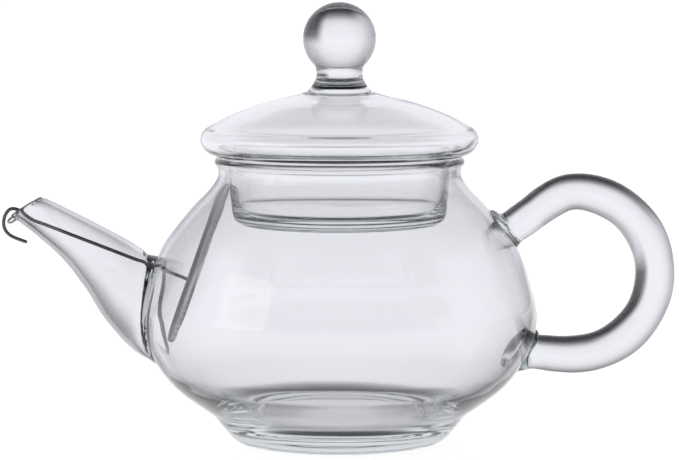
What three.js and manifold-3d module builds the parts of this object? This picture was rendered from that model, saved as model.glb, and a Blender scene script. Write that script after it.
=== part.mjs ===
// A small lampworked glass teapot: a blown body on a foot ring, a drawn spout, a solid rod handle on two
// weld pads, a lift-off lid (dome, inner collar and ball knob) and a stainless steel spring filter whose
// wire runs down the spout and hooks over its lip.
// Millimetres, +Z up. The origin is the centre of the foot, on the surface that the pot stands on.
// The spout points along -X and the handle along +X.

import * as THREE from 'three';
import Module from 'manifold-3d';
import { mergeVertices } from 'three/addons/utils/BufferGeometryUtils.js';

const wasm = await Module();
wasm.setup();

// ---- Driving dimensions ----

const GAP = 0.3; // clearance between pieces that are fused together or rest on each other
const TURN_STEPS = 32; // facets round a large turned piece

const BELLY_RADIUS = 45;
const WALL = 1.7; // body wall
const FLOOR_Z = 5.4; // inside floor at the centre
const UNDERSIDE_Z = 3.3; // underside of the body, inside the foot ring

const LIP_CENTRE = new THREE.Vector2(27.5, 63.6);
const LIP_RADIUS = 1.0; // bead round the mouth

const FOOT_OUTER = 22.8; // flat ring that the pot stands on
const FOOT_INNER = 20.4;
const FOOT_ROOT = 19.0; // inner radius of the ring where it joins the underside

const ROD_RADIUS = 4.45; // handle rod
const HANDLE_CENTRE = new THREE.Vector2(53.2, 38.2);
const HANDLE_RADIUS = 18.5; // centreline of the round part
const HANDLE_UPPER_END = new THREE.Vector2(40.4, 49.5); // centres of the rod's end faces
const HANDLE_RISE = new THREE.Vector2(46.6, 54.0);
const HANDLE_LOWER_END = new THREE.Vector2(45.9, 20.0);
const PAD_LENGTH = 3.0;
const PAD_ROOT = 3.0; // extra length that the body cuts away
const PAD_RADIUS = 4.3; // at the rod

const SPOUT_WALL = 1.1;
const BORE_START = 0.6; // share of the spout's length at which its bore begins to pierce the body

const LID_REST_Z = LIP_CENTRE.y + LIP_RADIUS + GAP;
const LID_WALL = 1.7;
const DOME_TOP_Z = 80.1;
const COLLAR_BOTTOM_Z = 49.1;
const COLLAR_WALL = 1.3;
const COLLAR_RADIUS = 25.0; // below the flare at its top
const COLLAR_TOP_RADIUS = 25.4;
const COLLAR_FLARE = 2.0; // height of the flare
const COLLAR_CORNER = new THREE.Vector2(21.2, 52.1); // centre of the round bottom corner
const COLLAR_CORNER_RADIUS = COLLAR_CORNER.y - COLLAR_BOTTOM_Z;
const KNOB_RADIUS = 8.3;
const KNOB_CENTRE_Z = 91.5;

const WIRE_RADIUS = 0.4;
const COIL_TUBE_RADIUS = 0.7;
const COIL_INNER = 1.6; // radius of the spiral's first turn
const COIL_OUTER = 18.4; // radius of its last turn, at the top
const COIL_SAG = 1.7; // how much further the last turn reaches at the bottom
const COIL_TURNS = 9;
const COIL_CENTRE = new THREE.Vector3(-32.4, 0, 39.6);
const COIL_AXIS = new THREE.Vector3(-0.937, 0, 0.349).normalize(); // square to the disc, up the spout
const WIRE_END = new THREE.Vector3(-35.0, 0, 36.8); // against the disc, a little below its centre

// ---- Outlines: radius and height, from the foot upwards ----

const BODY_OUTLINE = [
  [29.3, 6.4], [38.0, 13.0], [43.4, 21.0], [BELLY_RADIUS, 28.6], [43.4, 36.2],
  [40.3, 44.4], [34.1, 52.6], [29.9, 57.0], [27.7, 60.6],
];
const UNDERSIDE_OUTLINE = [[0, UNDERSIDE_Z], [20.0, UNDERSIDE_Z], [24.6, 3.9], [27.4, 5.0]];
const INSIDE_FLOOR = [[26.6, 7.0], [23.0, 5.5], [0, FLOOR_Z]]; // from the wall to the centre
const FOOT_OUTLINE = [
  [FOOT_ROOT, 1.2], [FOOT_INNER, 0], [FOOT_OUTER, 0], [24.6, 0.7], [25.6, 1.9], [28.8, 6.0],
  [FOOT_ROOT, 6.0], [FOOT_ROOT, 1.2],
];
const DOME_OUTLINE = [
  [31.7, 68.9], [29.9, 71.6], [24.1, 74.5], [16.8, 77.1], [10.2, 78.7], [0, DOME_TOP_Z],
];
const DOME_SEAT = [24.6, LID_REST_Z]; // inner edge of the dome's rolled rim
const RIM_OUTLINE = [DOME_SEAT, [28.0, LID_REST_Z], [30.2, 65.8], [31.4, 67.2]];
const NECK_OUTLINE = [[0, DOME_TOP_Z + GAP], [6.9, DOME_TOP_Z + GAP], [6.1, 81.4], [5.3, 82.8], [5.3, 84.4]];
const PAD_OUTLINE = [
  [0, -PAD_LENGTH - PAD_ROOT], [5.6, -PAD_LENGTH - PAD_ROOT], [5.3, -PAD_LENGTH], [PAD_RADIUS, -1.4],
  [PAD_RADIUS, -GAP], [0, -GAP],
];

// The spout's upper and lower outlines (x, z) from the mouth down to a section inside the body wall.
// Point n of one and point n of the other are the two ends of one cross-section.
const SPOUT_TOP = [
  [-67.9, 55.7], [-63.2, 53.5], [-55.1, 49.4], [-47.8, 45.5], [-43.9, 43.0], [-41.0, 41.5], [-36.0, 39.6],
];
const SPOUT_BOTTOM = [
  [-74.8, 51.4], [-68.7, 46.6], [-63.0, 41.4], [-57.8, 34.6], [-52.8, 26.8], [-45.3, 19.3], [-36.0, 16.8],
];

// The wire's hook (x, z): out through the mouth, over the lip and back under it.
const HOOK = [
  [-70.0, 50.4], [-72.8, 52.5], [-74.9, 52.75], [-76.2, 51.0], [-76.3, 48.6], [-74.8, 46.7], [-71.1, 45.2],
];

// ---- Solids ----

function toSolid(geometry) {
  const bare = geometry.clone();
  bare.deleteAttribute('normal');
  bare.deleteAttribute('uv');
  const merged = mergeVertices(bare, 1e-4);
  const index = merged.index.array;
  const triangles = [];
  for (let i = 0; i < index.length; i += 3) {
    const [a, b, c] = [index[i], index[i + 1], index[i + 2]];
    if (a !== b && b !== c && c !== a) triangles.push(a, b, c);
  }
  return new wasm.Manifold(new wasm.Mesh({
    numProp: 3,
    vertProperties: new Float32Array(merged.attributes.position.array),
    triVerts: new Uint32Array(triangles),
  }));
}

function toGeometry(solid) {
  const mesh = solid.getMesh();
  const geometry = new THREE.BufferGeometry();
  geometry.setAttribute('position', new THREE.BufferAttribute(new Float32Array(mesh.vertProperties), 3));
  geometry.setIndex(new THREE.BufferAttribute(new Uint32Array(mesh.triVerts), 1));
  geometry.computeVertexNormals();
  return geometry;
}

const vectors = (pairs) => pairs.map(([x, y]) => new THREE.Vector2(x, y));

const smooth = (pairs, steps) => new THREE.SplineCurve(vectors(pairs)).getSpacedPoints(steps);

function arc(centre, radius, fromDegrees, toDegrees, steps) {
  return Array.from({ length: steps + 1 }, (_, i) => {
    const angle = THREE.MathUtils.degToRad(fromDegrees + ((toDegrees - fromDegrees) * i) / steps);
    return new THREE.Vector2(Math.cos(angle), Math.sin(angle)).multiplyScalar(radius).add(centre);
  });
}

// Moves an outline sideways: a positive distance is to its right as it runs.
function offset(points, distance) {
  return points.map((point, i) => {
    const before = points[Math.max(i - 1, 0)];
    const after = points[Math.min(i + 1, points.length - 1)];
    const along = after.clone().sub(before).normalize();
    return new THREE.Vector2(along.y, -along.x).multiplyScalar(distance).add(point);
  });
}

// Turns an outline round the Z axis. It runs upwards on the outside of the piece.
function turned(outline, steps = TURN_STEPS) {
  return new THREE.LatheGeometry(outline, steps).rotateX(Math.PI / 2);
}

function tube(curve, radius, sides, steps) {
  const section = new THREE.Shape();
  for (let i = 0; i < sides; i += 1) {
    const angle = (2 * Math.PI * i) / sides;
    const [x, y] = [radius * Math.cos(angle), radius * Math.sin(angle)];
    if (i === 0) section.moveTo(x, y);
    else section.lineTo(x, y);
  }
  return new THREE.ExtrudeGeometry(section, { steps, bevelEnabled: false, extrudePath: curve });
}

// ---- Body ----

const bodyWall = smooth(BODY_OUTLINE, 16);

function bodyGeometry() {
  const outside = [...vectors(UNDERSIDE_OUTLINE), ...bodyWall];
  const lip = arc(LIP_CENTRE, LIP_RADIUS, -45, 180, 7);
  const inside = offset(smooth(BODY_OUTLINE, 12), -WALL).slice(1).reverse();
  return turned([...outside, ...lip, ...inside, ...vectors(INSIDE_FLOOR)]);
}

// The body's outside as one solid lump, grown by the fusing gap: it cuts whatever joins the body.
function bodyCutter() {
  const outline = offset([...vectors(UNDERSIDE_OUTLINE), ...bodyWall], GAP);
  outline[0].x = 0;
  outline.push(new THREE.Vector2(0, outline[outline.length - 1].y));
  return toSolid(turned(outline));
}

function footRing() {
  return toSolid(turned(vectors(FOOT_OUTLINE))).subtract(bodyCutter());
}

// ---- Spout ----

const OUTSIDE = 2; // radius that marks the spout's outer surface in the turned piece
const BORE = 1; // radius that marks its bore
const SPOUT_SIDES = 20;

// Bends a turned piece, with its axis running from 0 to 1, onto the spout's cross-sections.
function onSpout(geometry) {
  const top = new THREE.SplineCurve(vectors(SPOUT_TOP));
  const bottom = new THREE.SplineCurve(vectors(SPOUT_BOTTOM));
  const position = geometry.attributes.position;
  for (let i = 0; i < position.count; i += 1) {
    const t = THREE.MathUtils.clamp(position.getZ(i), 0, 1);
    const [high, low] = [top.getPoint(t), bottom.getPoint(t)];
    const mark = Math.hypot(position.getX(i), position.getY(i));
    const half = high.distanceTo(low) / 2;
    const radius = mark > BORE * 1.5 ? half : (half - SPOUT_WALL) * mark;
    const scale = mark > 0 ? radius / mark : 0;
    const up = high.clone().sub(low).normalize().multiplyScalar(scale * position.getX(i));
    const centre = high.add(low).multiplyScalar(0.5);
    position.setXYZ(i, centre.x + up.x, -scale * position.getY(i), centre.y + up.y);
  }
  return toSolid(geometry);
}

// A side of the turned piece, at one radius, from a share of the spout's length to its root.
function spoutSide(radius, start, steps) {
  return Array.from({ length: steps + 1 }, (_, i) => {
    const share = THREE.MathUtils.lerp(start, 1, i / steps);
    return new THREE.Vector2(radius, share);
  });
}

function spoutTube() {
  const outer = spoutSide(OUTSIDE, 0, 10);
  const inner = spoutSide(BORE, 0, 10).reverse();
  return onSpout(turned([...outer, ...inner, outer[0]], SPOUT_SIDES)).subtract(bodyCutter());
}

function spoutBore() {
  const [start, end] = [new THREE.Vector2(0, BORE_START), new THREE.Vector2(0, 1)];
  return onSpout(turned([start, ...spoutSide(BORE, BORE_START, 4), end], SPOUT_SIDES));
}

// ---- Handle ----

// The rod's centreline: a straight rise off the shoulder, a round loop and a level return to the belly.
function handlePath() {
  const round = arc(HANDLE_CENTRE, HANDLE_RADIUS, 90, -82, 7);
  const loop = [HANDLE_UPPER_END, HANDLE_RISE, ...round, HANDLE_LOWER_END];
  return new THREE.CatmullRomCurve3(loop.map((point) => new THREE.Vector3(point.x, 0, point.y)));
}

function handleRod() {
  return toSolid(tube(handlePath(), ROD_RADIUS, 14, 26));
}

// A weld pad: a short collar, flared where it runs into the body.
function pad(end, axis) {
  const collar = new THREE.LatheGeometry(vectors(PAD_OUTLINE), 20);
  collar.applyQuaternion(new THREE.Quaternion().setFromUnitVectors(new THREE.Vector3(0, 1, 0), axis));
  collar.translate(end.x, end.y, end.z);
  return toSolid(collar).subtract(bodyCutter());
}

// ---- Lid ----

function dome() {
  const top = smooth(DOME_OUTLINE, 10);
  const under = offset(smooth(DOME_OUTLINE.slice(1), 8), -LID_WALL).reverse();
  under[0].x = 0;
  const inner = vectors([[24.0, 66.6], DOME_SEAT]);
  return toSolid(turned([...vectors(RIM_OUTLINE), ...top, ...under, ...inner]));
}

function collar() {
  const bottom = arc(COLLAR_CORNER, COLLAR_CORNER_RADIUS, -90, 0, 4);
  const inner = arc(COLLAR_CORNER, COLLAR_CORNER_RADIUS - COLLAR_WALL, 0, -90, 3);
  const topZ = LID_REST_Z - GAP;
  const side = vectors([
    [COLLAR_RADIUS, topZ - COLLAR_FLARE], [COLLAR_TOP_RADIUS, topZ],
    [COLLAR_TOP_RADIUS - COLLAR_WALL, topZ], [COLLAR_RADIUS - COLLAR_WALL, topZ - COLLAR_FLARE],
  ]);
  const [under, floor] = vectors([[0, COLLAR_BOTTOM_Z], [0, COLLAR_BOTTOM_Z + COLLAR_WALL]]);
  return toSolid(turned([under, ...bottom, ...side, ...inner, floor]));
}

function knob() {
  const ball = arc(new THREE.Vector2(0, KNOB_CENTRE_Z), KNOB_RADIUS, -48, 90, 10);
  ball[ball.length - 1].x = 0;
  return toSolid(turned([...vectors(NECK_OUTLINE), ...ball], 24));
}

// ---- Filter ----

// A flat spiral, egg-shaped: its turns reach further at the bottom, where the belly is widest.
class Spiral extends THREE.Curve {
  getPoint(t, target = new THREE.Vector3()) {
    const angle = 2 * Math.PI * COIL_TURNS * t;
    const down = ((1 - Math.cos(angle)) / 2) ** 2; // 0 at the top, 1 at the bottom
    const radius = THREE.MathUtils.lerp(COIL_INNER, COIL_OUTER + COIL_SAG * down, t);
    return target.set(radius * Math.cos(angle), radius * Math.sin(angle), 0);
  }
}

function coil() {
  const spiral = tube(new Spiral(), COIL_TUBE_RADIUS, 6, 125);
  spiral.applyQuaternion(new THREE.Quaternion().setFromUnitVectors(new THREE.Vector3(0, 0, 1), COIL_AXIS));
  spiral.translate(COIL_CENTRE.x, COIL_CENTRE.y, COIL_CENTRE.z);
  return toSolid(spiral);
}

function wire() {
  const hook = HOOK.map(([x, z]) => new THREE.Vector3(x, 0, z));
  const leg = new THREE.LineCurve3(WIRE_END, hook[0]);
  const path = new THREE.CatmullRomCurve3([0, 0.3, 0.6, 0.9].map((t) => leg.getPoint(t)).concat(hook));
  return toSolid(tube(path, WIRE_RADIUS, 6, 36));
}

// ---- Assembly ----

function glass() {
  return new THREE.MeshStandardMaterial({
    color: 0xe9eef0, roughness: 0.02, metalness: 0, transparent: true, opacity: 0.35,
  });
}

function steel() {
  return new THREE.MeshStandardMaterial({ color: 0x8f9193, roughness: 0.25, metalness: 1 });
}

function named(name, solid, material) {
  const mesh = new THREE.Mesh(toGeometry(solid), material);
  mesh.name = name;
  return mesh;
}

const rod = handlePath();
const pot = new THREE.Group();
pot.add(named('body_shell', toSolid(bodyGeometry()).subtract(spoutBore()), glass()));
pot.add(named('foot_ring', footRing(), glass()));
pot.add(named('spout', spoutTube(), glass()));
pot.add(named('handle', handleRod(), glass()));
pot.add(named('handle_upper_pad', pad(rod.getPointAt(0), rod.getTangentAt(0)), glass()));
pot.add(named('handle_lower_pad', pad(rod.getPointAt(1), rod.getTangentAt(1).negate()), glass()));

const lid = new THREE.Group();
lid.add(named('lid_dome', dome(), glass()));
lid.add(named('lid_collar', collar(), glass()));
lid.add(named('lid_knob', knob(), glass()));

const filter = new THREE.Group();
filter.add(named('filter_coil', coil(), steel()));
filter.add(named('filter_wire', wire(), steel()));

const teapot = new THREE.Group();
teapot.add(pot, lid, filter);

export default teapot;
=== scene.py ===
import math

import bmesh
import bpy
import numpy as np
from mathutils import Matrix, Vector


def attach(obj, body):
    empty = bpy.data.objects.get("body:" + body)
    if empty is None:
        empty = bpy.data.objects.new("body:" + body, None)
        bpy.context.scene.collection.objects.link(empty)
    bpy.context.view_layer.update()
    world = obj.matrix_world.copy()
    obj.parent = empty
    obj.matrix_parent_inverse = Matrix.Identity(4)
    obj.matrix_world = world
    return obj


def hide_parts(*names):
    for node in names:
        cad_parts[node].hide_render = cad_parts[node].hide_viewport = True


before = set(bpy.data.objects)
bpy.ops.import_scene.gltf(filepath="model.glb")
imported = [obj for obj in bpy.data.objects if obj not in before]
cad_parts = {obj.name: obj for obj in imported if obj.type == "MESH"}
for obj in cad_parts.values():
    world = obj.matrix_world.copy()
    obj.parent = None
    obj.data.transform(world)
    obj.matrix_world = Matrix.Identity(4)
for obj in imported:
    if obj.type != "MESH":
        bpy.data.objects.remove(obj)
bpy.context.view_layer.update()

# A lampworked glass teapot. Outlines are in millimetres, in the CAD frame: the axis is Z, the spout
# points along -X and the handle along +X. Glass pieces that are fused in the flame become one piece.

MM = 0.001
ROUND = 144  # facets round a turned piece

# ---- Driving dimensions ----
# They follow the CAD within 1 mm. The foot, the floor and the pot's neck have finer outlines here.

LIP_CENTRE = (27.5, 63.6)
LIP_RADIUS = 1.0
HANDLE_CENTRE = (53.2, 38.2)
HANDLE_RADIUS = 18.65
ROD_BURIED = 6.0  # length of the rod inside each weld
HANDLE_GAP = 13.0  # the whole rod is farther than this from the loop's centre
ROD_FROM = 43.5  # X where the rod's stronger painted edge shade starts
SPOUT_FROM = -45  # X where the spout's painted edge shade starts
UPPER_WELD = (37.0, 48.0)
LOWER_WELD = (41.6, 20.2)
BEAK = (-74.3, 50.5)
SPOUT_WALL = 1.1
LID_WALL = 1.5
KNOB_CENTRE_Z = 91.5
KNOB_RADIUS = 8.3
KNOB_SOLID_FROM = 82  # height above which the lid is solid glass
COLLAR_BOTTOM_Z = 49.1
COIL_CENTRE = (-32.4, 0.0, 39.6)
COIL_AXIS = (-0.9371, 0.0, 0.349)
COIL_OUTER = 18.4
COIL_SAG = 1.7
COIL_TUBE = 0.7
SPRING_WIRE = 0.15  # radius of the spring's wire
SPRING_LAY = 1.42  # distance between neighbouring turns of the spiral
SPRING_PITCH = 0.6  # distance between neighbouring winds of the spring
SPRING_START = 1.3  # radius of the spiral's inner end
HOOK_WIRE = 0.4
HOOK_WIRE_TIP = 0.28
HOOK_WIRE_START = (-34.2, 36.5)

BODY_OUTLINE = [
    (29.3, 6.4), (38.0, 13.0), (43.4, 21.0), (45.0, 28.6), (43.4, 36.2),
    (40.3, 44.4), (34.1, 52.6), (30.1, 56.8), (28.1, 59.5), (27.6, 61.4), (28.0, 62.8),
]
FOOT_OUTLINE = [
    (0, 3.3), (10, 3.25), (16, 3.05), (18.6, 2.4), (19.9, 0.9), (20.6, 0.15), (21.1, 0),
    (22.5, 0), (23.7, 0.3), (24.9, 1.15), (25.8, 2.3), (28.9, 6.0),
]
FLOOR_OUTLINE = [(0, 5.3), (12, 5.35), (20, 5.5), (24.2, 6.0), (26.8, 7.4)]
SPOUT_TOP = [
    (-67.9, 55.7), (-63.2, 53.5), (-55.1, 49.4), (-47.8, 45.5), (-43.9, 43.0), (-41.0, 41.5), (-36.0, 39.6),
]
SPOUT_BOTTOM = [
    (-74.8, 51.4), (-68.7, 46.6), (-63.0, 41.4), (-57.8, 34.6), (-52.8, 26.8), (-45.3, 19.3), (-36.0, 16.8),
]
HOOK = [
    (-70.0, 50.4), (-72.8, 52.5), (-74.9, 52.75), (-76.2, 51.0), (-76.3, 48.6), (-74.8, 46.7), (-71.1, 45.2),
]


# ---- Curves ----

def smooth(points, fine):
    """A dense smooth curve through the given points, with a number of steps between each two."""
    points = np.array(points, float)
    last = len(points) - 1
    dense = []
    for i in range(fine * last + 1):
        k = min(i // fine, last - 1)
        w = i / fine - k
        before, a, b, after = points[max(k - 1, 0)], points[k], points[k + 1], points[min(k + 2, last)]
        va, vb = (b - before) / 2, (after - a) / 2
        dense.append((2 * a - 2 * b + va + vb) * w**3 + (3 * b - 3 * a - 2 * va - vb) * w**2 + va * w + a)
    return np.array(dense)


def spline(points, steps):
    """Points evenly spaced along a smooth curve through the given ones."""
    return spaced(smooth(points, 40), steps)


def spaced(dense, steps):
    """Points at even distances along a dense line."""
    run = np.concatenate([[0], np.cumsum(np.linalg.norm(np.diff(dense, axis=0), axis=1))])
    at = np.linspace(0, run[-1], steps + 1)
    return np.stack([np.interp(at, run, dense[:, k]) for k in range(dense.shape[1])], axis=1)


def arc(centre, radius, start, end, steps):
    """Points on an arc, between two angles in degrees."""
    angles = np.radians(np.linspace(start, end, steps + 1))
    return np.stack([centre[0] + radius * np.cos(angles), centre[1] + radius * np.sin(angles)], axis=1)


def offset(points, distance):
    """Moves an outline sideways, to its right as it runs for a positive distance (or one per point)."""
    along = np.gradient(points, axis=0)
    along /= np.linalg.norm(along, axis=1)[:, None]
    return points + np.stack([along[:, 1], -along[:, 0]], axis=1) * np.reshape(distance, (-1, 1))


# ---- Meshes ----

def make_object(name, rings):
    """A closed skin over rings of points, each with the same number of points, in millimetres."""
    count = len(rings[0])
    verts = [tuple(p * MM) for ring in rings for p in ring]
    faces = []
    for i in range(len(rings) - 1):
        for j in range(count):
            k = (j + 1) % count
            faces.append((i * count + j, i * count + k, (i + 1) * count + k, (i + 1) * count + j))
    for ring in (0, len(rings) - 1):
        middle = len(verts)
        verts.append(tuple(np.mean(rings[ring], axis=0) * MM))
        for j in range(count):
            faces.append((ring * count + (j + 1) % count, ring * count + j, middle))
    mesh = bpy.data.meshes.new(name)
    mesh.from_pydata(verts, [], faces)
    work = bmesh.new()
    work.from_mesh(mesh)
    bmesh.ops.remove_doubles(work, verts=work.verts, dist=1e-7)
    bmesh.ops.recalc_face_normals(work, faces=work.faces)
    work.to_mesh(mesh)
    work.free()
    piece = bpy.data.objects.new(name, mesh)
    bpy.context.scene.collection.objects.link(piece)
    return piece


def wobble(angle, height):
    """The slight unevenness of hand-turned glass, in millimetres."""
    return 0.05 * np.sin(2 * angle + 0.07 * height) + 0.03 * np.sin(3 * angle - 0.11 * height + 1.0)


def turned(name, outline, uneven=1.0):
    """Turns an outline (radius, height) that starts and ends on the axis, or near it."""
    angle = np.linspace(0, 2 * np.pi, ROUND, endpoint=False)
    rings = []
    for radius, height in outline:
        if radius < 1e-6:
            radius = 0.02
        fade = min(1.0, radius / 20) * uneven
        r = radius + fade * wobble(angle, height)
        rings.append(np.stack([r * np.cos(angle), r * np.sin(angle), np.full(ROUND, height)], axis=1))
    return make_object(name, rings)


def swept(name, path, radii, count):
    """A round bar along a path in the XZ plane, in millimetres."""
    along = np.gradient(path, axis=0)
    along /= np.linalg.norm(along, axis=1)[:, None]
    angle = np.linspace(0, 2 * np.pi, count, endpoint=False)
    rings = []
    for point, t, radius in zip(path, along, radii):
        side = np.array([-t[1], 0.0, t[0]])
        ring = np.array([point[0], 0.0, point[1]]) + radius * (
            np.outer(np.cos(angle), side) + np.outer(np.sin(angle), [0.0, 1.0, 0.0]))
        rings.append(ring)
    return make_object(name, rings)


def combine(base, others):
    """Applies booleans: others is a list of (operation, object)."""
    for operation, other in others:
        step = base.modifiers.new(operation, "BOOLEAN")
        step.operation = operation
        step.solver = "EXACT"
        step.object = other
    done = bpy.data.meshes.new_from_object(base.evaluated_get(bpy.context.evaluated_depsgraph_get()))
    base.modifiers.clear()
    base.data = done
    for _, other in others:
        bpy.data.objects.remove(other)
    return base


def shade_smooth(piece, crease=35):
    """Smooth shading, apart from real creases."""
    work = bmesh.new()
    work.from_mesh(piece.data)
    for face in work.faces:
        face.smooth = True
    limit = math.radians(crease)
    for edge in work.edges:
        edge.smooth = len(edge.link_faces) == 2 and edge.calc_face_angle(0) < limit
    work.to_mesh(piece.data)
    work.free()
    return piece


# ---- The pot ----

BODY_WALL = spline(BODY_OUTLINE, 100)


def body_outside():
    """The blown body and its foot, up to the beaded lip."""
    bead = arc(LIP_CENTRE, LIP_RADIUS, -30, 90, 12)
    top = LIP_CENTRE[1] + LIP_RADIUS
    outline = np.concatenate([FOOT_OUTLINE, BODY_WALL, bead, [(20, top), (0, top)]])
    return turned("body_outside", outline)


def body_inside():
    """The tea space, open through the neck. The wall thins upwards from the floor."""
    thickness = np.interp(BODY_WALL[:, 1], [6, 16, 30, 50, 60], [2.4, 1.9, 1.6, 1.6, 1.7])
    inner = offset(BODY_WALL, -thickness)[6:]
    bead = arc(LIP_CENTRE, LIP_RADIUS, 180, 96, 10)
    rise = [(bead[-1][0], 75), (0, 75)]
    return turned("body_inside", np.concatenate([FLOOR_OUTLINE, inner, bead, rise]), uneven=-0.6)


def spout_rings(stations, count=72):
    """Rings across the spout. A station is (t, out, inset): t runs from the mouth to the body."""
    top, bottom = smooth(SPOUT_TOP, 30), smooth(SPOUT_BOTTOM, 30)
    angle = np.linspace(0, 2 * np.pi, count, endpoint=False)
    rings = []
    for t, out, inset in stations:
        k = t * (len(top) - 1)
        high = np.array([np.interp(k, np.arange(len(top)), top[:, i]) for i in (0, 1)])
        low = np.array([np.interp(k, np.arange(len(bottom)), bottom[:, i]) for i in (0, 1)])
        half = np.linalg.norm(high - low) / 2 - inset
        up = (high - low) / np.linalg.norm(high - low)
        centre = (high + low) / 2 + out * np.array([-up[1], up[0]])
        half = max(half, 0.02)
        ring = np.stack([
            centre[0] + up[0] * half * np.cos(angle),
            half * np.sin(angle),
            centre[1] + up[1] * half * np.cos(angle),
        ], axis=1)
        rings.append(ring)
    return rings


def bump(t, at, width):
    """1 at a place, falling smoothly to 0 over a width."""
    return math.exp(-((t - at) / width) ** 2)


def beyond_body(point):
    """How far a point is outside the body's wall, in millimetres. It is negative inside."""
    radius = math.hypot(point[0], point[1])
    gap = np.hypot(BODY_WALL[:, 0] - radius, BODY_WALL[:, 1] - point[2])
    near = int(np.argmin(gap))
    return math.copysign(gap[near], radius - BODY_WALL[near, 0])


def spout_outside():
    """A rounded rim at the mouth, and a groove and a swollen ring where the tube is fused to the body."""
    mouth = [(0, 0.1, 9), (0, 0.1, 0.7), (0, 0.02, 0.25), (0, -0.2, -0.02), (0, -0.6, -0.14)]
    tube = [(t, 0.0, -0.12 * bump(t, 0.03, 0.04)) for t in np.linspace(0.055, 1, 150)]
    rings = spout_rings(mouth + tube)
    for ring in rings[len(mouth):]:
        centre = ring.mean(axis=0)
        for point in ring:
            away = beyond_body(point)
            out = (point - centre) / np.linalg.norm(point - centre)
            upper = 0.5 + 0.5 * out[2]
            ring_height = 0.65 - 0.35 * upper
            point += out * (ring_height * bump(away, -0.2, 0.9) - 0.4 * upper * bump(away, 2.3, 0.9))
    return make_object("spout_outside", rings)


def spout_bore():
    """The inside of the spout, open at the mouth."""
    mouth = [(0, 3.0, 1.0), (0, 0.12, 1.0), (0, -0.2, 1.2), (0, -0.6, 1.25)]
    tube = [(t, 0.0, SPOUT_WALL) for t in np.linspace(0.055, 1, 60)]
    return make_object("spout_bore", spout_rings(mouth + tube))


def blob(name, centre, angle, along, across, wide, ridges=0.0, count=72):
    """An egg of glass, centred on the XZ plane, with its long axis at an angle from +X."""
    turn = math.radians(angle)
    long_axis = np.array([math.cos(turn), 0.0, math.sin(turn)])
    short_axis = np.array([-math.sin(turn), 0.0, math.cos(turn)])
    around = np.linspace(0, 2 * np.pi, count, endpoint=False)
    rings = []
    for a in np.linspace(0.02, math.pi - 0.02, count // 2):
        swell = math.sin(a) * (1 + ridges * np.sin(9 * around + 3 * a))
        ring = np.array([centre[0], 0.0, centre[1]]) + math.cos(a) * along * long_axis
        ring = ring + np.outer(across * swell * np.cos(around), short_axis)
        ring = ring + np.outer(wide * swell * np.sin(around), [0.0, 1.0, 0.0])
        rings.append(ring)
    return make_object(name, rings)


def handle_rod():
    """The solid rod: drawn out towards its ends, necked where it meets the welds, and flared inside them."""
    upper = [(40.4, 49.4), (43.5, 51.6), (47.3, 54.4), (51.2, 56.4)]
    round_part = arc(HANDLE_CENTRE, HANDLE_RADIUS, 84, -88, 13)
    path = spline(np.concatenate([upper, round_part, [(49.8, 19.6), (45.9, 20.0)]]), 150)
    start, end = path[0] - path[1], path[-1] - path[-2]
    start, end = start / np.linalg.norm(start), end / np.linalg.norm(end)
    depth = np.linspace(ROD_BURIED, 0.4, 15)
    path = np.concatenate([
        [path[0] + start * d for d in depth], path, [path[-1] + end * d for d in depth[::-1]]])
    run = np.concatenate([[0], np.cumsum(np.linalg.norm(np.diff(path, axis=0), axis=1))])
    share = (run - ROD_BURIED) / (run[-1] - 2 * ROD_BURIED)
    radii = np.interp(share, [0, 0.08, 0.22, 0.5, 0.8, 1], [3.95, 4.1, 4.25, 4.55, 4.4, 4.1])
    to_end = np.minimum(run, run[-1] - run) - ROD_BURIED
    radii += np.interp(to_end, [-6, -4.5, -3, -1.8, -0.6, 1.4, 4], [1.3, 0.9, 0.3, -0.15, -0.15, 0.1, 0])
    radii = np.convolve(np.pad(radii, 3, mode="edge"), np.ones(7) / 7, mode="valid")
    radii += 0.05 * np.sin(run * 0.5) + 0.03 * np.sin(run * 0.17 + 2)
    return swept("handle_rod", path, radii, 56)


def build_pot():
    """Body, foot, spout, handle and welds as one fused skin, hollow inside."""
    pot = body_outside()
    pot.name = "pot_glass"
    pot = combine(pot, [
        ("UNION", spout_outside()), ("UNION", handle_rod()),
        ("DIFFERENCE", body_inside()), ("DIFFERENCE", spout_bore()),
        ("UNION", blob("upper_weld", UPPER_WELD, 127, 5.4, 2.4, 5.0, 0.03)),
        ("UNION", blob("lower_weld", LOWER_WELD, 56, 6.0, 2.6, 5.2, 0.03)),
        ("UNION", blob("beak", BEAK, 215, 1.5, 0.8, 1.8)),
    ])
    return mark_solid(shade_smooth(pot), pot_edge_shade_share)


def pot_edge_shade_share(x, y, z):
    """The share of the stronger painted edge shade. The handle's rod is solid and gets it. The spout's tube,
    though hollow, gets part of it: more below and round its mouth, less above.
    """
    if x > ROD_FROM and math.hypot(x - HANDLE_CENTRE[0], z - HANDLE_CENTRE[1]) > HANDLE_GAP:
        return min(1.0, (x - ROD_FROM) / 3)
    middle = np.interp(x, [-70, -57.8, -47.8], [52, 42.7, 33.5])
    under = min(1.0, max(0.0, (middle - z) / 5))
    mouth = min(1.0, max(0.0, (-62 - x) / 6))
    return max(0.35 + 0.6 * under, 0.8 * mouth) * min(1.0, max(0.0, (SPOUT_FROM - x) / 4))


# ---- The lid ----

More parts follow.
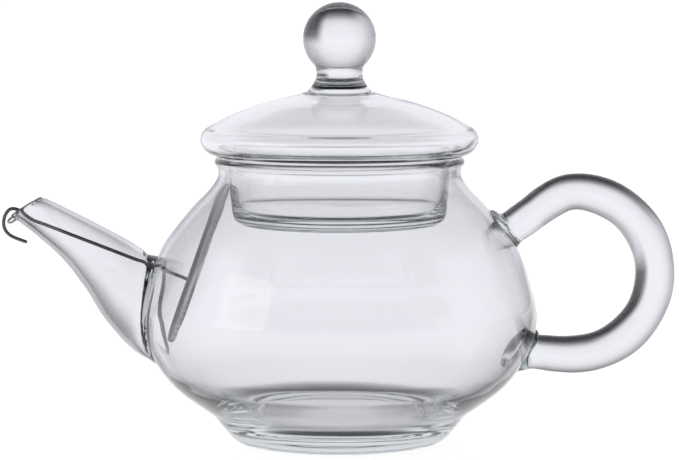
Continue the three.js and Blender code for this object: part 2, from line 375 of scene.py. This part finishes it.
def build_lid():
    """Dome, collar and knob as one fused skin round a sealed hollow."""
    top = KNOB_CENTRE_Z + KNOB_RADIUS
    corner = (21.2, COLLAR_BOTTOM_Z + 3)
    shell = spline([
        (24.9, 62.4), (25.3, 64.4), (26.8, 64.95), (28.9, 65.25), (30.6, 66.3), (31.5, 67.8), (31.6, 69.3),
        (30.9, 70.7), (29.3, 71.9), (24.1, 74.5), (16.8, 77.1), (10.2, 78.7), (7.4, 79.6),
    ], 90)
    neck = spline([(7.4, 79.6), (6.3, 80.9), (5.45, 82.4), (5.25, 83.8), (5.5, 85.2)], 16)[1:]
    ball = arc((0, KNOB_CENTRE_Z), KNOB_RADIUS, -46, 89.9, 40)
    outline = np.concatenate([
        [(0, COLLAR_BOTTOM_Z - 0.1), (12, COLLAR_BOTTOM_Z - 0.05)], arc(corner, 3, -90, -5, 12),
        spline([(24.4, 53), (24.8, 57), (24.9, 62.4)], 8)[:-1], shell, neck, ball, [(0, top)],
    ])
    lid = turned("lid_glass", outline, uneven=0.8)
    inner = offset(shell, -LID_WALL)[::-1]
    inner = inner[inner[:, 0] > 7.5]
    cup_side = spline([(23.5, 61), (23.5, 57), (23.2, 54.4)], 10)
    cup_floor = [(12, 51.9), (0, 51.8)]
    hollow = np.concatenate([
        [(0, 77.6), (5.5, 77.8)], inner, cup_side, arc((21.0, 54.0), 2.0, -10, -90, 8), cup_floor])[::-1]
    void = turned("lid_hollow", hollow, uneven=-0.5)
    lid = combine(lid, [("DIFFERENCE", void)])
    return mark_solid(shade_smooth(lid), lid_solid)


def lid_solid(x, y, z):
    """Only the knob and the upper part of its neck are solid, and they get the stronger painted edge shade.
    """
    return min(1.0, max(0.0, (z - KNOB_SOLID_FROM) / 3))


# ---- The filter ----

def coil_frame():
    """The disc's axis, and two directions across it."""
    axis = np.array(COIL_AXIS) / np.linalg.norm(COIL_AXIS)
    side = np.array([0.0, 1.0, 0.0])
    return axis, side, np.cross(axis, side)


def build_coil():
    """A fine close-wound spring, laid in a flat spiral."""
    wire, first = SPRING_WIRE, SPRING_START
    helix = COIL_TUBE - wire
    turns = (COIL_OUTER - first) / SPRING_LAY
    length = math.pi * (COIL_OUTER**2 - first**2) / SPRING_LAY
    winds = int(length / SPRING_PITCH)
    steps = winds * 9
    share = np.linspace(0, 1, steps + 1)
    radius = np.sqrt(first**2 + share * (COIL_OUTER**2 - first**2))
    angle = 2 * np.pi * turns * (radius - first) / (COIL_OUTER - first)
    radius = radius * (1 + COIL_SAG / COIL_OUTER * ((1 - np.cos(angle)) / 2) ** 2)
    axis, side, up = coil_frame()
    outward = np.outer(np.cos(angle), up) + np.outer(np.sin(angle), side)
    phase = 2 * np.pi * winds * share
    line = np.array(COIL_CENTRE) + outward * (radius + helix * np.cos(phase))[:, None]
    line += np.outer(helix * np.sin(phase), axis)
    along = np.gradient(line, axis=0)
    along /= np.linalg.norm(along, axis=1)[:, None]
    spine = outward * np.cos(phase)[:, None] + np.outer(np.sin(phase), axis)
    across = np.cross(along, spine)
    rings = [
        line + wire * (math.cos(a) * spine + math.sin(a) * across)
        for a in np.linspace(0, 2 * math.pi, 5, endpoint=False)]
    return shade_smooth(make_object("filter_spring", np.stack(rings, axis=1)), crease=80)


def build_wire():
    """The wire from the disc's centre along the spout, hooked over the lip."""
    hook = [np.array(p, float) for p in HOOK]
    inner = np.array(HOOK_WIRE_START)
    leg = [inner + (hook[0] - inner) * t for t in (0, 0.3, 0.6, 0.9)]
    path = spline(leg + hook, 150)
    radii = np.full(len(path), HOOK_WIRE)
    radii[0] = radii[-1] = HOOK_WIRE_TIP
    return shade_smooth(swept("filter_hook_wire", path, radii, 14), crease=60)


# ---- Materials ----

GLASS_IOR = 1.47
GLASS_TINT = (0.5, 0.62, 0.6, 1)  # what a thick piece of the glass turns towards
POT_DENSITY = 9.0
LID_DENSITY = 4.0
RIPPLE_SCALE = 60
RIPPLE_STRENGTH = 0.12
RIPPLE_DEPTH = 0.0006
SMEAR_SCALE = 35
SMEAR_ROUGHNESS = 0.02
STEEL_GRAIN = 900

# Painted edge shade: how much light the glass passes against how far it turns away from the eye: (turn,
# level). The grey it paints at glancing angles stands in for dark surroundings seen through the glass's
# edges.
THIN_EDGE_PAINTED_SHADE = [(0, 1.0), (0.3, 0.985), (0.45, 0.93), (0.55, 0.86), (0.69, 0.72), (0.82, 0.46), (0.95, 0.28)]
LID_EDGE_PAINTED_SHADE = [(0, 1.0), (0.7, 0.99), (0.88, 0.95), (0.97, 0.75)]
SOLID_EDGE_PAINTED_SHADE = [(0, 1.0), (0.08, 0.97), (0.2, 0.82), (0.36, 0.54), (0.56, 0.3), (0.85, 0.16)]

# Painted shade on the spiral's outer turns: light on the face towards the handle, dark on the face towards
# the spout, so one side of the disc's edge looks shaded.
RIM_RADII = (15.8, 16.8)  # the painted shade fades in between these
RIM_PAINTED_SHADE = [(0, 0.85), (0.35, 0.6), (0.6, 0.2), (1, 0.08)]


def set_ramp(ramp, stops):
    """Fills a colour ramp. A stop is (place, level) or (place, (red, green, blue))."""
    elements = ramp.color_ramp.elements
    for i, (where, level) in enumerate(stops):
        stop = elements[i] if i < 2 else elements.new(where)
        stop.position = where
        stop.color = (*(level if isinstance(level, tuple) else [level] * 3), 1)


def mark_solid(piece, test):
    """Writes the attribute "solid", the share of the stronger painted edge shade: 1 where a place in
    millimetres is in a bar or ball of solid glass.
    """
    values = [test(*(vert.co / MM)) for vert in piece.data.vertices]
    mark = piece.data.attributes.new("solid", "FLOAT", "POINT")
    mark.data.foreach_set("value", values)
    return piece


def new_material(name):
    """A new material, with its nodes, its links and its shader."""
    material = bpy.data.materials.new(name)
    material.use_nodes = True
    nodes = material.node_tree.nodes
    return material, nodes, material.node_tree.links, nodes["Principled BSDF"]


def glass(name, density, thin_edge_shade):
    """Clear glass, its colour greying towards its edges as painted edge shade. Solid bars and balls, marked
    by the attribute "solid", get stronger painted edge shade.
    """
    material, nodes, links, shader = new_material(name)
    shader.inputs["Transmission Weight"].default_value = 1.0
    shader.inputs["IOR"].default_value = GLASS_IOR
    # Painted edge shade: the glass's colour greys as its surface turns away from the eye.
    facing = nodes.new("ShaderNodeLayerWeight")
    facing.inputs["Blend"].default_value = 0.5
    edge_shades = []
    for stops in (thin_edge_shade, SOLID_EDGE_PAINTED_SHADE):
        ramp = nodes.new("ShaderNodeValToRGB")
        set_ramp(ramp, stops)
        links.new(facing.outputs["Facing"], ramp.inputs["Fac"])
        edge_shades.append(ramp)
    solid = nodes.new("ShaderNodeAttribute")
    solid.attribute_name = "solid"
    blend = nodes.new("ShaderNodeMix")
    blend.data_type = "RGBA"
    links.new(solid.outputs["Fac"], blend.inputs["Factor"])
    links.new(edge_shades[0].outputs["Color"], blend.inputs["A"])
    links.new(edge_shades[1].outputs["Color"], blend.inputs["B"])
    links.new(blend.outputs["Result"], shader.inputs["Base Color"])
    where = nodes.new("ShaderNodeTexCoord")
    waves = nodes.new("ShaderNodeTexNoise")
    waves.inputs["Scale"].default_value = RIPPLE_SCALE
    waves.inputs["Detail"].default_value = 1.5
    links.new(where.outputs["Object"], waves.inputs["Vector"])
    ripple = nodes.new("ShaderNodeBump")
    ripple.inputs["Strength"].default_value = RIPPLE_STRENGTH
    ripple.inputs["Distance"].default_value = RIPPLE_DEPTH
    links.new(waves.outputs["Fac"], ripple.inputs["Height"])
    links.new(ripple.outputs["Normal"], shader.inputs["Normal"])
    smears = nodes.new("ShaderNodeTexNoise")
    smears.inputs["Scale"].default_value = SMEAR_SCALE
    smears.inputs["Detail"].default_value = 4
    links.new(where.outputs["Object"], smears.inputs["Vector"])
    gloss = nodes.new("ShaderNodeMapRange")
    gloss.inputs["From Min"].default_value = 0.45
    gloss.inputs["From Max"].default_value = 0.8
    gloss.inputs["To Min"].default_value = 0.0
    gloss.inputs["To Max"].default_value = SMEAR_ROUGHNESS
    links.new(smears.outputs["Fac"], gloss.inputs["Value"])
    links.new(gloss.outputs["Result"], shader.inputs["Roughness"])
    volume = nodes.new("ShaderNodeVolumeAbsorption")
    volume.inputs["Color"].default_value = GLASS_TINT
    volume.inputs["Density"].default_value = density
    links.new(volume.outputs["Volume"], nodes["Material Output"].inputs["Volume"])
    return material


def steel(name, tone, roughness, rim=()):
    """Drawn steel. The rim's stops, if any, paint shade on the outer turns of the spiral, changing across
    its thickness.
    """
    material, nodes, links, shader = new_material(name)
    shader.inputs["Metallic"].default_value = 1.0
    where = nodes.new("ShaderNodeTexCoord")
    grain = nodes.new("ShaderNodeTexNoise")
    grain.inputs["Scale"].default_value = STEEL_GRAIN
    grain.inputs["Detail"].default_value = 3
    links.new(where.outputs["Object"], grain.inputs["Vector"])
    ramp = nodes.new("ShaderNodeValToRGB")
    ramp.color_ramp.elements[0].color = (*[tone * 0.8] * 3, 1)
    ramp.color_ramp.elements[1].color = (*[tone * 1.15] * 3, 1)
    links.new(grain.outputs["Fac"], ramp.inputs["Fac"])
    color = ramp.outputs["Color"]
    # Painted shade: the spiral's outer turns darken towards the face that looks to the spout.
    if rim:
        place_of = nodes.new("ShaderNodeVectorMath")
        place_of.operation = "SUBTRACT"
        place_of.inputs[1].default_value = tuple(c * MM for c in COIL_CENTRE)
        links.new(where.outputs["Object"], place_of.inputs[0])
        across = nodes.new("ShaderNodeVectorMath")
        across.operation = "DOT_PRODUCT"
        across.inputs[1].default_value = COIL_AXIS
        links.new(place_of.outputs[0], across.inputs[0])
        depth = nodes.new("ShaderNodeMapRange")
        depth.inputs["From Min"].default_value = -COIL_TUBE * MM
        depth.inputs["From Max"].default_value = COIL_TUBE * MM
        links.new(across.outputs["Value"], depth.inputs["Value"])
        shade = nodes.new("ShaderNodeValToRGB")
        set_ramp(shade, rim)
        links.new(depth.outputs["Result"], shade.inputs["Fac"])
        size = nodes.new("ShaderNodeVectorMath")
        size.operation = "LENGTH"
        links.new(place_of.outputs[0], size.inputs[0])
        outer = step_between(nodes, links, size.outputs["Value"], *(r * MM for r in RIM_RADII))
        blend = nodes.new("ShaderNodeMix")
        blend.data_type = "RGBA"
        links.new(outer, blend.inputs["Factor"])
        links.new(color, blend.inputs["A"])
        links.new(shade.outputs["Color"], blend.inputs["B"])
        color = blend.outputs["Result"]
    links.new(color, shader.inputs["Base Color"])
    spread = nodes.new("ShaderNodeMapRange")
    spread.inputs["To Min"].default_value = roughness * 0.7
    spread.inputs["To Max"].default_value = roughness * 1.3
    links.new(grain.outputs["Fac"], spread.inputs["Value"])
    links.new(spread.outputs["Result"], shader.inputs["Roughness"])
    return material


# ---- Studio ----

CAMERA_DISTANCE = 0.706
CAMERA_HEIGHT = 0.114
AIM_HEIGHT = 0.048
CAMERA_LENS = 165.2
FLOOR_HALF = 9
BACKDROP_RADIUS = 8.0


def build_camera():
    camera = bpy.data.objects.new("camera", bpy.data.cameras.new("camera"))
    bpy.context.scene.collection.objects.link(camera)
    camera.location = (0, -CAMERA_DISTANCE, CAMERA_HEIGHT)
    look = Vector((0, 0, AIM_HEIGHT)) - camera.location
    camera.rotation_euler = look.to_track_quat("-Z", "Y").to_euler()
    camera.data.lens = CAMERA_LENS
    camera.data.sensor_width = 36
    bpy.context.scene.camera = camera


def build_floor():
    """A matt white floor that glows enough to stay white under the pot. Glass doesn't show it."""
    mesh = bpy.data.meshes.new("floor")
    half = FLOOR_HALF
    corners = [(-half, -half, 0), (half, -half, 0), (half, half, 0), (-half, half, 0)]
    mesh.from_pydata(corners, [], [(0, 1, 2, 3)])
    floor = bpy.data.objects.new("floor", mesh)
    floor.location.z = -0.0001
    bpy.context.scene.collection.objects.link(floor)
    material, _, _, shader = new_material("floor_paint")
    shader.inputs["Base Color"].default_value = (0.93, 0.93, 0.93, 1)
    shader.inputs["Roughness"].default_value = 1.0
    shader.inputs["Specular IOR Level"].default_value = 0.0
    shader.inputs["Emission Color"].default_value = (1, 1, 1, 1)
    shader.inputs["Emission Strength"].default_value = 0.76
    mesh.materials.append(material)
    floor.visible_transmission = False


def build_backdrop():
    """A plain white wall all round, behind the floor. It lights nothing and glass doesn't show it."""
    count, radius, low, high = 64, BACKDROP_RADIUS, -1.0, 9.0
    turns = np.linspace(0, 2 * math.pi, count + 1)[:-1]
    ring = [(radius * math.cos(a), radius * math.sin(a)) for a in turns]
    verts = [(x, y, z) for z in (low, high) for x, y in ring]
    faces = [(i, (i + 1) % count, count + (i + 1) % count, count + i) for i in range(count)]
    mesh = bpy.data.meshes.new("backdrop")
    mesh.from_pydata(verts, [], faces)
    wall = bpy.data.objects.new("backdrop", mesh)
    bpy.context.scene.collection.objects.link(wall)
    material, _, _, shader = new_material("backdrop_white")
    shader.inputs["Base Color"].default_value = (0, 0, 0, 1)
    shader.inputs["Specular IOR Level"].default_value = 0.0
    shader.inputs["Emission Color"].default_value = (1, 1, 1, 1)
    shader.inputs["Emission Strength"].default_value = 1.1
    mesh.materials.append(material)
    for kind in ("diffuse", "glossy", "transmission", "volume_scatter", "shadow"):
        setattr(wall, "visible_" + kind, False)


# Brightness of the studio by elevation in degrees, towards the back, the sides, the handle's far corner
# and the camera's end.
STUDIO = {
    "back": [
        (-90, 0.02), (-44, 0.03), (-36, 0.09), (-28, 0.38), (-21, 0.82), (-14, 0.94), (2, 0.97), (22, 0.95),
        (35, 0.78), (45, 0.5), (55, 0.25), (90, 0.18)],
    "side": [
        (-90, 0.03), (-48, 0.06), (-38, 0.3), (-31, 0.84), (-20, 0.93), (2, 0.93), (14, 0.86), (35, 0.78),
        (48, 0.45), (58, 0.24), (90, 0.18)],
    "handle": [
        (-90, 0.02), (-32, 0.03), (-14, 0.07), (-6, 0.2), (-1, 0.5), (5, 0.9), (14, 0.88), (35, 0.78),
        (48, 0.45), (58, 0.24), (90, 0.18)],
    "front": [
        (-90, 0.03), (-48, 0.06), (-38, 0.3), (-31, 0.84), (-20, 0.92), (2, 0.9), (12, 0.3), (50, 0.18),
        (90, 0.18)],
}
BACK_TURN = 25  # degrees from straight back towards the handle's side, of the middle of each part
HANDLE_TURN = 52
STUDIO_TINT = (0.935, 0.94, 1.0)
STUDIO_STRENGTH = 1.0


def calculate(nodes, links, operation, *inputs):
    """A Math node's output. Each input is a number or a socket."""
    node = nodes.new("ShaderNodeMath")
    node.operation = operation
    for i, value in enumerate(inputs):
        if isinstance(value, (int, float)):
            node.inputs[i].default_value = value
        else:
            links.new(value, node.inputs[i])
    return node.outputs[0]


def step_between(nodes, links, value, low, high):
    """0 below low and 1 above high, with a smooth step between."""
    node = nodes.new("ShaderNodeMapRange")
    node.interpolation_type = "SMOOTHSTEP"
    links.new(value, node.inputs["Value"])
    node.inputs["From Min"].default_value = low
    node.inputs["From Max"].default_value = high
    return node.outputs["Result"]


def build_studio():
    """A studio that depends on direction alone: four columns of brightness by elevation, blended."""
    world = bpy.data.worlds.new("studio")
    bpy.context.scene.world = world
    world.use_nodes = True
    nodes, links = world.node_tree.nodes, world.node_tree.links
    background = nodes["Background"]
    where = nodes.new("ShaderNodeTexCoord")
    split = nodes.new("ShaderNodeSeparateXYZ")
    links.new(where.outputs["Generated"], split.inputs["Vector"])
    rise = calculate(nodes, links, "ARCSINE", split.outputs["Z"])
    height = nodes.new("ShaderNodeMapRange")
    height.inputs["From Min"].default_value = -math.pi / 2
    height.inputs["From Max"].default_value = math.pi / 2
    links.new(rise, height.inputs["Value"])
    flat = calculate(nodes, links, "SQRT", calculate(
        nodes, links, "SUBTRACT", 1.0001, calculate(nodes, links, "POWER", split.outputs["Z"], 2.0)))
    ahead = calculate(nodes, links, "DIVIDE", split.outputs["Y"], flat)
    aside = []
    for degrees in (BACK_TURN, HANDLE_TURN):
        turn = math.radians(degrees)
        across = calculate(nodes, links, "MULTIPLY", split.outputs["X"], math.sin(turn))
        along = calculate(nodes, links, "MULTIPLY", split.outputs["Y"], math.cos(turn))
        aside.append(calculate(nodes, links, "DIVIDE", calculate(nodes, links, "ADD", across, along), flat))
    levels = {}
    for name, stops in STUDIO.items():
        levels[name] = nodes.new("ShaderNodeValToRGB")
        set_ramp(levels[name], [
            ((degrees + 90) / 180, tuple(level * t for t in STUDIO_TINT)) for degrees, level in stops])
        links.new(height.outputs["Result"], levels[name].inputs["Fac"])
    result = levels["side"].outputs["Color"]
    for name, share in (("back", step_between(nodes, links, aside[0], 0.5, 0.8)),
                        ("handle", step_between(nodes, links, aside[1], 0.8, 0.93)),
                        ("front", step_between(nodes, links, ahead, -0.1, -0.6))):
        blend = nodes.new("ShaderNodeMix")
        blend.data_type = "RGBA"
        links.new(share, blend.inputs["Factor"])
        links.new(result, blend.inputs["A"])
        links.new(levels[name].outputs["Color"], blend.inputs["B"])
        result = blend.outputs["Result"]
    links.new(result, background.inputs["Color"])
    background.inputs["Strength"].default_value = STUDIO_STRENGTH


SOFTBOX_SIZE = (0.5, 0.42)
SOFTBOX_PLACE = (-0.72, -0.42, 0.28)
SOFTBOX_WATTS = 0.5


def build_softbox():
    """A soft light to the left of the camera."""
    light = bpy.data.lights.new("softbox", "AREA")
    light.shape = "RECTANGLE"
    light.size, light.size_y = SOFTBOX_SIZE
    light.energy = SOFTBOX_WATTS
    lamp = bpy.data.objects.new("softbox", light)
    lamp.location = SOFTBOX_PLACE
    lamp.rotation_euler = (Vector((0, 0, 0.04)) - lamp.location).to_track_quat("-Z", "Y").to_euler()
    bpy.context.scene.collection.objects.link(lamp)


def set_light_paths():
    """Plain colours, and enough bounces for many layers of glass."""
    scene = bpy.context.scene
    scene.view_settings.view_transform = "Standard"
    scene.cycles.max_bounces = 32
    scene.cycles.transmission_bounces = 32
    scene.cycles.glossy_bounces = 12
    scene.cycles.caustics_refractive = True
    scene.cycles.caustics_reflective = True


# ---- Assembly ----

def place(piece, body, slot, material, *nodes):
    """Ties a piece to its body and the CAD nodes it stands for. The slot is not used."""
    piece.data.materials.clear()
    piece.data.materials.append(material)
    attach(piece, body)
    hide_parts(*nodes)


build_camera()
build_floor()
build_backdrop()
build_studio()
build_softbox()
set_light_paths()

pot_glass = glass("pot_glass", POT_DENSITY, THIN_EDGE_PAINTED_SHADE)
lid_glass = glass("lid_glass", LID_DENSITY, LID_EDGE_PAINTED_SHADE)
place(build_pot(), "pot", "body_glass", pot_glass,
      "body_shell", "foot_ring", "spout", "handle", "handle_upper_pad", "handle_lower_pad")
place(build_lid(), "lid", "lid_glass", lid_glass, "lid_dome", "lid_collar", "lid_knob")
# Painted light: the spring's steel gets a light tone, so its face shows a bright core like a highlight.
place(build_coil(), "filter", "spring_steel", steel("spring_steel", 0.85, 0.2, RIM_PAINTED_SHADE), "filter_coil")
# Painted shade: the wire is the same steel darkened near black, standing in for the dark surroundings it
# reflects.
place(build_wire(), "filter", "wire_steel", steel("wire_steel", 0.12, 0.3), "filter_wire")
